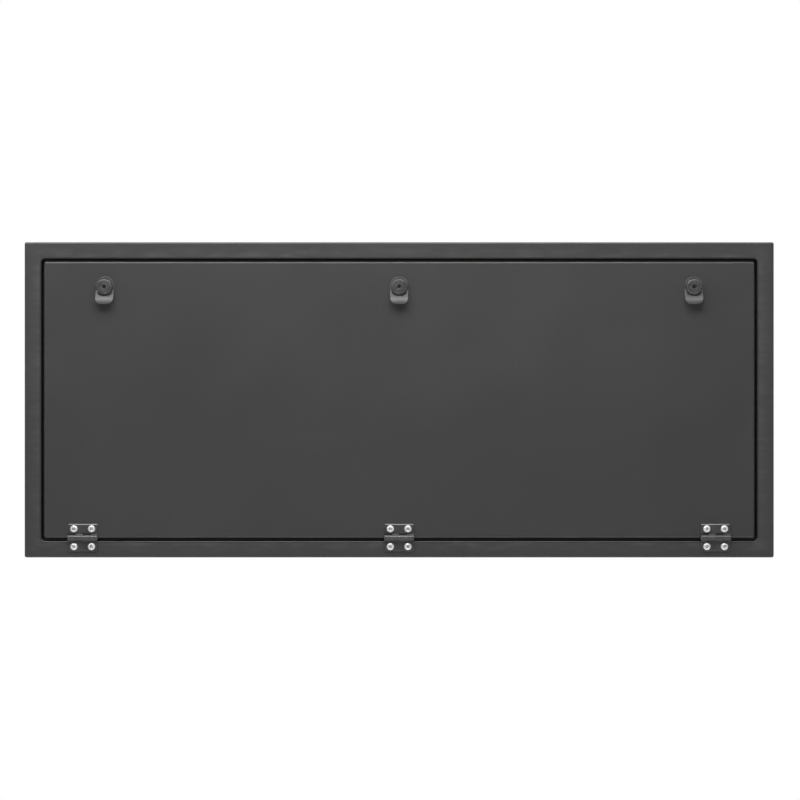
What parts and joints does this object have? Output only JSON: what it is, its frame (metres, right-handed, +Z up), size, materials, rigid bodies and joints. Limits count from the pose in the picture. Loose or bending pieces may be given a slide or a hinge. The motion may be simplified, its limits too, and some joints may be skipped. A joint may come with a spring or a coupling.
{
  "type": "medicine cabinet",
  "caption": "Surface-mounted wall cabinet in painted sheet steel with a bottom-hinged drop-down door, quarter-turn latches with finger pulls, glass shelves and mirror panes inside.",
  "frame": {"origin": "centre of the back panel's rear face, which goes against the wall", "axes": "+X along the cabinet's width, to the right as seen from in front; +Y into the wall; +Z up. The door is on the -Y side"},
  "size_m": [0.96, 0.1308, 0.404],
  "materials": {
    "charcoal_paint": "satin charcoal powder coat, fine texture",
    "hinge_black": "dark oxide coat, semi-gloss, rubbed to bright steel along the upper edges",
    "latch_black": "dark grey coat, satin",
    "stainless": "bright stainless steel",
    "zinc_steel": "zinc plated steel",
    "foam_rubber": "dark grey closed-cell foam, matte",
    "silvered_glass": "silvered float glass, polished edges",
    "clear_glass": "clear float glass, polished edges"
  },
  "bodies": {
    "cabinet": {"body_back": "charcoal_paint", "body_bottom": "charcoal_paint", "body_left": "charcoal_paint", "body_right": "charcoal_paint", "body_top": "charcoal_paint", "door_gasket": "foam_rubber", "face_frame": "charcoal_paint", "frame_hinge_bar": "zinc_steel", "hinge_centre_frame_leaf": "hinge_black", "hinge_centre_frame_screw_1": "stainless", "hinge_centre_frame_screw_2": "stainless", "hinge_centre_pin": "stainless", "hinge_left_frame_leaf": "hinge_black", "hinge_left_frame_screw_1": "stainless", "hinge_left_frame_screw_2": "stainless", "hinge_left_pin": "stainless", "hinge_right_frame_leaf": "hinge_black", "hinge_right_frame_screw_1": "stainless", "hinge_right_frame_screw_2": "stainless", "hinge_right_pin": "stainless", "mirror_left": "silvered_glass", "mirror_right": "silvered_glass", "partition": "charcoal_paint", "rebate_frame": "charcoal_paint", "shelf_left": "clear_glass", "shelf_rest_left_inner": "charcoal_paint", "shelf_rest_left_outer": "charcoal_paint", "shelf_rest_right_inner": "charcoal_paint", "shelf_rest_right_outer": "charcoal_paint", "shelf_right": "clear_glass"},
    "door": {"door_skin": "charcoal_paint", "door_liner": "charcoal_paint", "door_hinge_bar": "zinc_steel", "hinge_left_door_leaf": "hinge_black", "hinge_centre_door_leaf": "hinge_black", "hinge_right_door_leaf": "hinge_black", "hinge_left_door_screw_1": "stainless", "hinge_left_door_screw_2": "stainless", "hinge_centre_door_screw_1": "stainless", "hinge_centre_door_screw_2": "stainless", "hinge_right_door_screw_1": "stainless", "hinge_right_door_screw_2": "stainless", "latch_left_housing": "latch_black", "latch_centre_housing": "latch_black", "latch_right_housing": "latch_black", "latch_left_washer": "zinc_steel", "latch_left_nut": "zinc_steel", "latch_centre_washer": "zinc_steel", "latch_centre_nut": "zinc_steel", "latch_right_washer": "zinc_steel", "latch_right_nut": "zinc_steel"},
    "latch_left_core": {"latch_left_plug": "latch_black", "latch_left_cam": "zinc_steel", "latch_left_cam_screw": "zinc_steel"},
    "latch_centre_core": {"latch_centre_plug": "latch_black", "latch_centre_cam": "zinc_steel", "latch_centre_cam_screw": "zinc_steel"},
    "latch_right_core": {"latch_right_plug": "latch_black", "latch_right_cam": "zinc_steel", "latch_right_cam_screw": "zinc_steel"}
  },
  "joints": [
    {"name": "door_swing", "type": "hinge", "parent": "cabinet", "child": "door", "pos_m": [0, -0.124, -0.1765], "axis": [1, 0, 0], "range_deg": [0, 165]},
    {"name": "latch_left_turn", "type": "hinge", "parent": "door", "child": "latch_left_core", "pos_m": [-0.377, -0.12, 0.1444], "axis": [0, 1, 0], "range_deg": [0, 90]},
    {"name": "latch_centre_turn", "type": "hinge", "parent": "door", "child": "latch_centre_core", "pos_m": [0, -0.12, 0.1444], "axis": [0, 1, 0], "range_deg": [0, 90]},
    {"name": "latch_right_turn", "type": "hinge", "parent": "door", "child": "latch_right_core", "pos_m": [0.377, -0.12, 0.1444], "axis": [0, 1, 0], "range_deg": [0, 90]}
  ]
}
